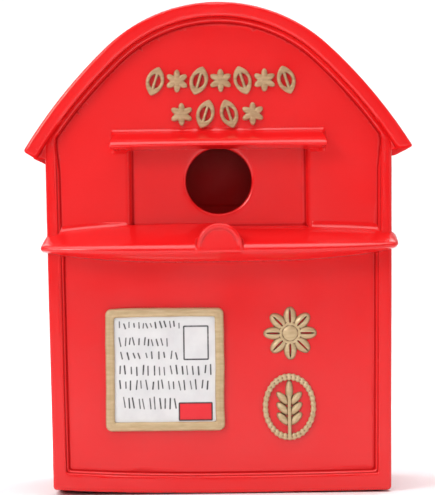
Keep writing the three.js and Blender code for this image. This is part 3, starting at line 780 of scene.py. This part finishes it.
def hood_shape(x, y, z):
    side = np.abs(x)
    depth = PANEL_FACE - y
    reach = PANEL_FACE - HOOD_LOW[1]
    half = HOOD_BACK_HALF + (HOOD_FRONT_HALF - HOOD_BACK_HALF) * depth / reach
    camber = HOOD_CAMBER * (1 - (side / HOOD_FRONT_HALF) ** 2)
    top = half_plane(depth, z, (reach, HOOD_TOP[1]), (0, HOOD_TOP[0]))
    under = half_plane(depth, z - camber, (0, HOOD_BOTTOM[0]), (reach, HOOD_BOTTOM[1]))
    hood = smooth_max(smooth_max(top, depth - reach, 4.5), under, 1.2)
    hood = smooth_max(hood, side - half, 1.6)
    hood = np.maximum(hood, -depth - BONDED)
    hood = against_panel(hood, x, y, z, HOOD_BACK_HALF + 1, HOOD_BOTTOM[0] - 1, HOOD_TOP[0] + 1)
    return hood + uneven(x, y, z)


def make_hood():
    gap = 0.4
    axes = (even(HOOD_LOW[0], HOOD_HIGH[0], gap), even(HOOD_LOW[1], -39, gap), even(158, 180, gap * 0.8))
    cast("hood_ledge", hood_shape, axes, SHELL_PAINT)


# ---------- Raised gold work and the notice ----------

RELIEF_FRONT = box_mm("flower_emblem")[0][1]
RELIEF_BACK = PANEL_FACE + BONDED
LEAF_HALF, LEAF_RIM, LEAF_RIB = (4.4, 7.3), 1.7, 1.4
LEAF_LEAN = 0.3
FLOWER_PETALS, FLOWER_RADIUS = 6, 4.4


def leaf_outline(u, v, half):
    """Two arcs that meet in a point above and below."""
    radius = (half[0] ** 2 + half[1] ** 2) / (2 * half[0])
    offset = radius - half[0]
    return smooth_max(disc(u, v, (offset, 0), radius), disc(u, v, (-offset, 0), radius), 0.5)


def raised(flat, y, edge=0.8):
    return prism(flat, y, RELIEF_FRONT, RELIEF_BACK, edge)


def leaf_ornament(u, v):
    inner = (LEAF_HALF[0] - LEAF_RIM, LEAF_HALF[1] - 2 * LEAF_RIM)
    ring = cut(leaf_outline(u, v, LEAF_HALF), leaf_outline(u, v, inner), 0.5)
    rib = np.maximum(np.abs(u) - LEAF_RIB / 2, np.abs(v) - LEAF_HALF[1] + 1)
    return smooth_min(ring, rib, 0.7)


def flower_ornament(u, v):
    flower = disc(u, v, (0, 0), FLOWER_RADIUS * 0.5)
    for i in range(FLOWER_PETALS):
        along, across = turned_about(u, v, math.pi / 2 + i * 2 * math.pi / FLOWER_PETALS)
        size = (FLOWER_RADIUS * 0.56, FLOWER_RADIUS * 0.34, 1)
        petal = ellipsoid(along - FLOWER_RADIUS * 0.72, across, 0, size)
        flower = smooth_min(flower, petal, 0.5)
    return flower


def make_titles():
    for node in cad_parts:
        if not node.startswith("title"):
            continue
        x0, _, z0 = middle(node)
        leaf = "leaf" in node
        lean = math.copysign(LEAF_LEAN, x0 - middle("hood_ledge")[0]) if leaf else 0.0
        outline = leaf_ornament if leaf else flower_ornament

        def shape(x, y, z):
            u, v = turned_about(x - x0, z - z0, lean)
            return raised(outline(u, v), y) + 0.12 * wobble(x, y, z, 5.0, seed=5)

        cast_even(node, shape, 0.22, TITLE_GOLD, reach=0.45)


def domed_petal(u, v, y, along, long, wide, angle):
    """A petal standing out from the panel, its middle at (along, 0) in a frame turned by angle."""
    a, b = turned_about(u, v, angle)
    return ellipsoid(a - along, b, y - PANEL_FACE, (long, wide, PANEL_FACE - RELIEF_FRONT))


EMBLEM_PETALS, EMBLEM_EYE, EYE_HEIGHT = 8, 4.6, 2.2
PETAL_PLACE, PETAL_HALF = 8.0, (5.1, 3.2)
GROOVE_HALF, GROOVE_OUT = (3.6, 0.5), 1.4


def make_flower_emblem():
    x0, _, z0 = middle("flower_emblem")

    def shape(x, y, z):
        u, v = x - x0, z - z0
        flower = ellipsoid(u, v, y - PANEL_FACE, (EMBLEM_EYE, EMBLEM_EYE, EYE_HEIGHT))
        for i in range(EMBLEM_PETALS):
            turn = i * 2 * math.pi / EMBLEM_PETALS
            petal = domed_petal(u, v, y, PETAL_PLACE, *PETAL_HALF, turn)
            groove = domed_petal(u, v, y + GROOVE_OUT, PETAL_PLACE, *GROOVE_HALF, turn)
            flower = smooth_min(flower, cut(petal, groove, 0.5), 0.4)
        ring = np.hypot(disc(u, v, (0, 0), EMBLEM_EYE), y - PANEL_FACE + 0.9) - 0.7
        return smooth_min(flower, ring, 0.3) + 0.08 * wobble(x, y, z, 5.0, seed=6)

    cast_even("flower_emblem", shape, 0.22, GOLD_PAINT, reach=0.45)


WREATH_HALF, WREATH_STROKE = (13.0, 16.0), 2.5
BEADS, BEAD_HEIGHT = 34, 0.16
STEM_HALF, STEM_DROP = (0.85, 11.5), 3.5
TIP_RISE, TIP_LONG = 8.0, 5.0
LEAF_LONG, LEAF_WIDE = 4.2, 1.9
LEAF_PAIRS, LEAF_LOWEST, LEAF_PITCH, LEAF_PLACE = 3, -9.0, 5.0, 4.4


def branch_leaves(u, v, y):
    """The leaf at the tip of the branch, then its pairs of leaves from the lowest up."""
    yield domed_petal(u, v - TIP_RISE, y, 0, TIP_LONG, LEAF_WIDE, math.pi / 2)
    for i in range(LEAF_PAIRS):
        foot = v - LEAF_LOWEST - LEAF_PITCH * i
        for turn in (math.pi / 4, 3 * math.pi / 4):
            yield domed_petal(u, foot, y, LEAF_PLACE, LEAF_LONG, LEAF_WIDE, turn)


def make_wreath_emblem():
    x0, _, z0 = middle("wreath_emblem")
    centre_line = [half - WREATH_STROKE / 2 for half in WREATH_HALF]

    def shape(x, y, z):
        u, v = x - x0, z - z0
        oval = ellipsoid(u, v, 0, (*centre_line, 100))
        band = np.abs(oval) - WREATH_STROKE / 2
        angle = np.arctan2(v / WREATH_HALF[1], u / WREATH_HALF[0])
        beads = BEAD_HEIGHT * np.cos(BEADS * angle) * (np.abs(oval) < WREATH_STROKE)
        wreath = raised(band, y, 1.0) + beads
        stem = np.maximum(np.abs(u) - STEM_HALF[0], np.abs(v + STEM_DROP) - STEM_HALF[1])
        wreath = smooth_min(wreath, raised(stem, y, 0.7), 0.5)
        for leaf in branch_leaves(u, v, y):
            wreath = smooth_min(wreath, leaf, 0.4)
        return wreath + 0.08 * wobble(x, y, z, 5.0, seed=7)

    cast_even("wreath_emblem", shape, 0.22, GOLD_PAINT, reach=0.45)


FRAME_BAND = 4.4
FRAME_WANDER = 0.35  # how far its edges stray from straight


def make_notice_frame():
    x0, _, z0 = middle("notice_frame")
    front, half = box_mm("notice_frame")[0][1], half_size("notice_frame")

    def shape(x, y, z):
        u = x - x0 + FRAME_WANDER * wobble(x, 0, z, 26, seed=8)
        v = z - z0 + FRAME_WANDER * wobble(x, 0, z, 26, seed=9)
        outer = rectangle(u, v, (0, 0), half, 3.0)
        opening = rectangle(u, v, (0, 0), half - FRAME_BAND, 1.0)
        band = cut(outer, opening, 0.6)
        return prism(band, y, front, RELIEF_BACK, 1.3) + 0.1 * wobble(x, y, z, 9.0, seed=10)

    cast_even("notice_frame", shape, 0.32, GOLD_PAINT, reach=0.6)


# Rows of ticks on the card, in millimetres from its top left corner: top, bottom, from, to, count.
TICK_ROWS = [
    (2.0, 5.4, 2.6, 31.7, 14),
    (9.8, 14.2, 2.6, 25.9, 11),
    (16.6, 20.5, 3.4, 30.3, 10),
    (23.4, 28.3, 2.2, 46.8, 17),
    (30.7, 35.6, 2.2, 44.9, 17),
    (39.0, 44.9, 4.4, 29.3, 11),
]
PORTRAIT_CENTRE, PORTRAIT_HALF = (39.6, 12.4), (5.9, 8.1)
LABEL_CENTRE, LABEL_HALF = (39.1, 46.0), (8.0, 4.2)
INK_LINE = 0.35  # half the width of an inked line


def segment(u, v, start, end):
    """Distance from the line between two points."""
    du, dv = end[0] - start[0], end[1] - start[1]
    share = np.clip(((u - start[0]) * du + (v - start[1]) * dv) / (du * du + dv * dv), 0, 1)
    return np.hypot(u - start[0] - share * du, v - start[1] - share * dv)


def ink_distance(u, v):
    """Distance from the nearest inked line, where u runs right and v down from the card's corner."""
    random = np.random.default_rng(11)
    nearest = np.abs(rectangle(u, v, PORTRAIT_CENTRE, PORTRAIT_HALF, 0.3)) - INK_LINE
    nearest = np.minimum(nearest, np.abs(rectangle(u, v, LABEL_CENTRE, LABEL_HALF, 0.3)) - INK_LINE)
    for top, bottom, first, last, count in TICK_ROWS:
        for at in np.linspace(first, last, count):
            foot = (at + random.uniform(-0.4, 0.4), bottom - random.uniform(0.2, 1.4))
            head = (foot[0] + random.uniform(-0.9, 0.5), top + random.uniform(-0.3, 0.9))
            tick = segment(u, v, head, foot) - INK_LINE * random.uniform(0.7, 1.1)
            nearest = np.minimum(nearest, tick)
    return nearest


def sheet_mesh(name, x, y, z, back_y):
    """A mesh over a grid of points, with a skirt from its rim to a back at back_y, and the rim's count."""
    points = np.stack([x, y, z], -1).reshape(-1, 3) * MM
    index = np.arange(x.size).reshape(x.shape)
    corners = [index[:-1, :-1], index[1:, :-1], index[1:, 1:], index[:-1, 1:]]
    faces = np.stack(corners, -1).reshape(-1, 4)
    rim = np.concatenate([index[:, 0], index[-1, 1:], index[-2::-1, -1], index[0, -2:0:-1]])
    back = points[rim].copy()
    back[:, 1] = back_y * MM
    behind = x.size + np.arange(len(rim))
    skirt = np.stack([rim, behind, np.roll(behind, -1), np.roll(rim, -1)], -1)
    mesh = bpy.data.meshes.new(name)
    all_faces = faces.tolist() + skirt.tolist() + [behind[::-1].tolist()]
    mesh.from_pydata(np.concatenate([points, back]).tolist(), [], all_faces)
    return mesh, len(rim)


def make_notice_card():
    """A sheet that bulges slightly, its edges tucked under the frame."""
    low, high = box_mm("notice_card")
    tuck, gap = 0.6, 0.22 * QUICK
    xs = np.linspace(low[0] - tuck, high[0] + tuck, int((high[0] - low[0]) / gap))
    zs = np.linspace(low[2] - tuck, high[2] + tuck, int((high[2] - low[2]) / gap))
    x, z = np.meshgrid(xs, zs, indexing="ij")
    y = low[1] + 0.12 * wobble(x, 0, z, 22, seed=12)
    mesh, rim_count = sheet_mesh("notice_card_piece", x, y, z, RELIEF_BACK)
    u, v = (x - low[0]).ravel(), (high[2] - z).ravel()
    marks = {
        "ink": np.clip(0.5 - ink_distance(u, v) / gap, 0, 1),
        "label": np.clip(0.5 - rectangle(u, v, LABEL_CENTRE, LABEL_HALF) / gap, 0, 1),
    }
    for name, values in marks.items():
        add_values(mesh, name, np.pad(values, (0, rim_count)))
    add_piece(mesh, CARD_PAINT[0], "box", CARD_PAINT[1], "notice_card")


# ---------- The back: panel, hatch and ironmongery ----------

PANEL_LOW, PANEL_HIGH = box_mm("back_panel")
PLAY = 0.3
HATCH_CLEARANCE, HATCH_STOP = 0.8, 4.0
POCKET_HALF, POCKET_RISE, POCKET_DEPTH = (7.5, 9.0), 2.0, 5.0
SCREW_HEAD, SCREW_HEAD_DEPTH, SCREW_SHANK = 2.8, 1.2, 1.2
SCREW_SLOPE = (SCREW_HEAD - SCREW_SHANK) / SCREW_HEAD_DEPTH
THREAD_HEIGHT, THREAD_PITCH = 0.12, 1.1
CROSS_ARM = 0.34  # half the width of a driver recess's arm


def cone_sink(x, y, z, place, face):
    """The hole for a countersunk screw whose head lies level with y = face."""
    off = np.hypot(x - place[0], z - place[1])
    cone = (off - SCREW_HEAD - PLAY + SCREW_SLOPE * (face - y)) / math.hypot(1, SCREW_SLOPE)
    return np.minimum(cone, off - SCREW_SHANK - PLAY)


def places_of(*names):
    return [middle(name)[[0, 2]] for name in names]


def back_panel_shape(x, y, z):
    face = PANEL_HIGH[1]
    outline = smooth_max(body_sides(x, z) + WALL + PLAY, WALL + PLAY - z, 2.0)
    outline = smooth_max(outline, arch(x, z) + ROOF_THICKNESS + PLAY, 1.0)
    panel = prism(outline, y, PANEL_LOW[1], face, 1.0)
    rebate = rectangle(x, z, HATCH_CENTRE, HATCH_HALF + HATCH_CLEARANCE, 1.2)
    panel = cut(panel, prism(rebate, y, HATCH_LOW[1] - PLAY, BEHIND, 0.2), 0.7)
    opening = rectangle(x, z, HATCH_CENTRE, HATCH_HALF - HATCH_STOP, 2.0)
    panel = cut(panel, opening, 0.7)
    x_hang, _, z_hang = middle("keyhole_hanger")
    pocket = rectangle(x, z, (x_hang, z_hang + POCKET_RISE), POCKET_HALF, 1.0)
    panel = cut(panel, prism(pocket, y, face - POCKET_DEPTH, BEHIND, 0.2), 0.4)
    for place in places_of(*(f"back_panel_screw_{i}" for i in (1, 2, 3, 4))):
        panel = cut(panel, cone_sink(x, y, z, place, face), 0.3)
    return panel + 0.1 * wobble(x, y, z, 30, seed=14)


def make_back_panel():
    gap = 0.5
    depth = even(PANEL_LOW[1], PANEL_HIGH[1], 0.4)
    axes = (even(PANEL_LOW[0], PANEL_HIGH[0], gap), depth, even(PANEL_LOW[2], PANEL_HIGH[2], gap))
    cast("back_panel", back_panel_shape, axes, BACK_PAINT)


def hatch_shape(x, y, z):
    outline = rectangle(x, z, HATCH_CENTRE, HATCH_HALF, 1.5)
    return prism(outline, y, HATCH_LOW[1], HATCH_HIGH[1], 0.9) + 0.07 * wobble(x, y, z, 28, seed=15)


def make_hatch():
    gaps = (0.5, 0.35, 0.5)
    axes = [even(low, high, gap) for low, high, gap in zip(HATCH_LOW, HATCH_HIGH, gaps)]
    cast("rear_hatch", hatch_shape, axes, BACK_PAINT, body="hatch")


def cross_recess(x, y, z, x0, z0, face, turn, half=1.7, depth=0.9):
    """A cross-shaped driver recess that narrows with depth."""
    u, v = turned_about(x - x0, z - z0, turn)
    sunk = face - y
    level = rectangle(u, v, (0, 0), (half, CROSS_ARM), 0.1)
    upright = rectangle(u, v, (0, 0), (CROSS_ARM, half), 0.1)
    return np.maximum(np.minimum(level, upright) + 0.5 * sunk, sunk - depth)


def make_screw(node, turn):
    """A countersunk screw with its driver recess turned by an angle."""
    x0, _, z0 = middle(node)
    low, high = box_mm(node)
    tip, face = low[1], high[1]

    def shape(x, y, z):
        off = np.hypot(x - x0, z - z0)
        cone = (off - SCREW_HEAD + SCREW_SLOPE * (face - y - 0.15)) / math.hypot(1, SCREW_SLOPE)
        head = smooth_max(np.maximum(cone, off - SCREW_HEAD), y - face, 0.3)
        head = cut(head, cross_recess(x, y, z, x0, z0, face, turn), 0.12)
        thread = THREAD_HEIGHT * np.sin(2 * math.pi * y / THREAD_PITCH)
        shank = np.maximum(off - SCREW_SHANK + 0.1 - thread, np.maximum(tip - y, y - face + 1))
        point = (off - (y - tip)) / math.sqrt(2)
        return smooth_min(head, np.maximum(shank, point), 0.2)

    body = "hatch" if "hatch" in node else "box"
    cast_even(node, shape, 0.14, ZINC_STEEL, body=body, reach=0.3)


def make_screws():
    random = np.random.default_rng(16)
    for node in sorted(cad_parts):
        if "screw" in node and node != "button_screw":
            make_screw(node, random.uniform(0, math.pi / 2))


HINGE_X = middle("hinge_lower_pin")[0]
HINGE_Y = middle("hinge_lower_pin")[1]
KNUCKLE_RADIUS, PIN_RADIUS, LEAF_THICKNESS = 2.0, 0.9, 1.2
KNUCKLE_SHARES = (0.33, 0.67)  # of a hinge's length, where its middle knuckle starts and ends


def knuckle_span(z, bottom, length, moving):
    """Below zero along a leaf's knuckles: one in the middle if it moves, one at each end if not."""
    start, stop = (bottom + share * length for share in KNUCKLE_SHARES)
    within = smooth_max(start + PLAY - z, z - stop + PLAY, 0.3)
    if moving:
        return within
    ends = smooth_max(bottom - z, z - bottom - length, 0.3)
    return np.maximum(ends, -within + PLAY)


def make_hinge_leaf(label, part):
    moving = part == "moving"
    node = f"hinge_{label}_{part}_leaf"
    low, high = box_mm(node)
    whole = box_mm(f"hinge_{label}_fixed_leaf")
    bottom, length = whole[0][2], whole[1][2] - whole[0][2]
    back, tip = low[1], (high if moving else low)[0]
    held_by = "hatch" if moving else "panel"
    holes = places_of(*(f"hinge_{label}_{held_by}_screw_{i}" for i in (1, 2)))

    def shape(x, y, z):
        centre = ((HINGE_X + tip) / 2, bottom + length / 2)
        flat = rectangle(x, z, centre, (abs(tip - HINGE_X) / 2, length / 2), 1.2)
        plate = prism(flat, y, back, back + LEAF_THICKNESS, 0.3)
        off = np.hypot(x - HINGE_X, y - HINGE_Y)
        span = knuckle_span(z, bottom, length, moving)
        plate = np.maximum(plate, np.minimum(span, KNUCKLE_RADIUS + PLAY - off))
        knuckle = smooth_max(off - KNUCKLE_RADIUS, span, 0.3)
        leaf = cut(smooth_min(plate, knuckle, 0.5), off - PIN_RADIUS - 0.1, 0.15)
        for hole in holes:
            leaf = cut(leaf, cone_sink(x, y, z, hole, back + LEAF_THICKNESS), 0.15)
        return leaf

    body = "hatch" if moving else "box"
    cast_even(node, shape, 0.2, ZINC_STEEL, body=body, reach=0.35)


def make_hinge_leaves():
    for label in ("lower", "upper"):
        for part in ("fixed", "moving"):
            make_hinge_leaf(label, part)


def make_hinge_pins():
    for label in ("lower", "upper"):
        node = f"hinge_{label}_pin"
        low, high = box_mm(node)

        def shape(x, y, z):
            off = np.hypot(x - HINGE_X, y - HINGE_Y)
            ends = np.abs(z - (low[2] + high[2]) / 2) - (high[2] - low[2]) / 2
            pin = smooth_max(off - PIN_RADIUS, ends, 0.4)
            head = smooth_max(off - PIN_RADIUS * 1.7, np.abs(z - high[2] + 0.5) - 0.5, 0.5)
            return np.minimum(pin, head)

        cast_even(node, shape, 0.16, ZINC_STEEL, reach=0.3)


KNOB_BALL, KNOB_BALL_HALF = 5.9, 2.7  # its middle's height over the hatch, and half its length
KNOB_NECK, KNOB_NECK_HALF = 3.2, 3.0
KNOB_FOOT, KNOB_FOOT_SLOPE, KNOB_FOOT_HALF = 4.2, 0.25, 0.7
KNOB_RING, KNOB_RING_HEIGHT = 0.35, 8.2


def make_knob():
    x0, _, z0 = middle("hatch_knob")
    low, high = box_mm("hatch_knob")
    radius = (high[0] - low[0]) / 2

    def shape(x, y, z):
        off = np.hypot(x - x0, z - z0)
        along = y - low[1]
        ball = ellipsoid(off, along - KNOB_BALL, 0, (radius, KNOB_BALL_HALF, 100))
        neck = np.maximum(off - KNOB_NECK, np.abs(along - KNOB_NECK_HALF) - KNOB_NECK_HALF)
        flare = off - KNOB_FOOT + KNOB_FOOT_SLOPE * along
        foot = smooth_max(flare, np.abs(along - KNOB_FOOT_HALF) - KNOB_FOOT_HALF, 0.4)
        ring = np.hypot(off - radius * 0.55, along - KNOB_RING_HEIGHT) - KNOB_RING
        knob = smooth_min(smooth_min(ball, neck, 1.5), foot, 0.8)
        return np.maximum(cut(knob, ring, 0.3), -along)

    cast_even("hatch_knob", shape, 0.2, BRASS, body="hatch", reach=0.4)


WAIST_DEPTH, WAIST_PLACE, WAIST_WIDTH = 0.9, 7.0, 2.5  # of the turn button
BUTTON_HOLE = 2.0  # its radius
DOME_RADIUS, DOME_HEAD, DOME_HEIGHT, DOME_SHANK = 5.0, 3.6, 1.6, 1.6  # of the button's screw


def make_turn_button():
    x0, _, z0 = middle("turn_button")
    low, high = box_mm("turn_button")
    half = half_size("turn_button")

    def shape(x, y, z):
        u, v = x - x0, z - z0
        bar = rectangle(u, v, (0, 0), half, half[0] - 0.1)
        waist = bar + WAIST_DEPTH * np.exp(-((np.abs(v) - WAIST_PLACE) / WAIST_WIDTH) ** 2)
        button = prism(waist, y, low[1], high[1], 0.8)
        return cut(button, disc(u, v, (0, 0), BUTTON_HOLE), 0.3)

    cast_even("turn_button", shape, 0.2, BRASS, body="button", reach=0.4)


def make_button_fixing():
    x0, _, z0 = middle("button_washer")
    washer_low, washer_high = box_mm("button_washer")
    tip, crown = (corner[1] for corner in box_mm("button_screw"))

    def washer(x, y, z):
        off = np.hypot(x - x0, z - z0)
        ring = np.maximum(off - (washer_high[0] - washer_low[0]) / 2, BUTTON_HOLE - off)
        return prism(ring, y, washer_low[1], washer_high[1], 0.15)

    def screw(x, y, z):
        off = np.hypot(x - x0, z - z0)
        sphere = np.hypot(off, y - crown + DOME_RADIUS) - DOME_RADIUS
        head = smooth_max(np.maximum(sphere, off - DOME_HEAD), crown - DOME_HEIGHT - y, 0.3)
        head = cut(head, cross_recess(x, y, z, x0, z0, crown, 0.4, half=2.0, depth=1.0), 0.12)
        shank = np.maximum(off - DOME_SHANK, np.maximum(tip - y, y - crown + 1))
        return np.minimum(head, shank)

    cast_even("button_washer", washer, 0.14, ZINC_STEEL, reach=0.3)
    cast_even("button_screw", screw, 0.16, ZINC_STEEL, reach=0.3)


EYE_RADIUS, EYE_DROP, NECK_HALF, NECK_TOP = 4.5, 1.0, 2.3, 8.0


def make_hanger():
    x0, _, z0 = middle("keyhole_hanger")
    low, high = box_mm("keyhole_hanger")
    half = half_size("keyhole_hanger")

    def shape(x, y, z):
        u, v = x - x0, z - z0
        plate = prism(rectangle(u, v, (0, 0), half, 3.0), y, low[1], high[1], 0.35)
        eye = disc(u, v, (0, -EYE_DROP), EYE_RADIUS)
        neck = rectangle(u, v, (0, NECK_TOP / 2), (NECK_HALF, NECK_TOP / 2), NECK_HALF)
        plate = cut(plate, smooth_min(eye, neck, 0.6), 0.3)
        for hole in places_of("hanger_screw_1", "hanger_screw_2"):
            plate = cut(plate, cone_sink(x, y, z, hole, high[1]), 0.15)
        return plate

    cast_even("keyhole_hanger", shape, 0.22, ZINC_STEEL, reach=0.4)


make_camera()
make_lights()
make_world()
make_floor()
make_shell()
make_roof()
make_sill()
make_hood()
make_titles()
make_flower_emblem()
make_wreath_emblem()
make_notice_frame()
make_notice_card()
make_back_panel()
make_hatch()
make_screws()
make_hinge_leaves()
make_hinge_pins()
make_knob()
make_turn_button()
make_button_fixing()
make_hanger()
